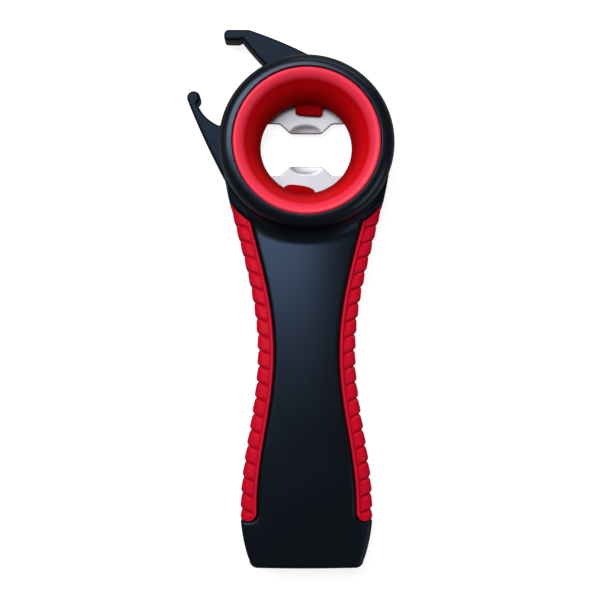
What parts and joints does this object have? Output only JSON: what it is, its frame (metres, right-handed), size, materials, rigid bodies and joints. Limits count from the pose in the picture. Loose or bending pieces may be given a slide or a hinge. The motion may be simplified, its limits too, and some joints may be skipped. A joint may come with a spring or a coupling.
{
  "type": "multi-function opener",
  "caption": "Hand-held jar, bottle and can opener: round head with rubber cone and steel lips, two hooks, and a waisted handle with ribbed side grips.",
  "frame": {"origin": "on the flat back, on the axis of the round head", "axes": "+Z out of the head's mouth, +Y from the handle past the hooks, +X to the side away from the hooks"},
  "size_m": [0.068, 0.177, 0.025],
  "materials": {
    "black_abs": "satin",
    "red_cone_rubber": "smooth",
    "red_grip_rubber": "satin",
    "plate_steel": "brushed",
    "screw_steel": "zinc plated"
  },
  "bodies": {
    "root": {"front_shell": "black_abs", "rear_shell": "black_abs", "cone_gripper": "red_cone_rubber", "opener_plate": "plate_steel", "left_grip": "red_grip_rubber", "right_grip": "red_grip_rubber", "shell_screws": "screw_steel"}
  },
  "joints": []
}
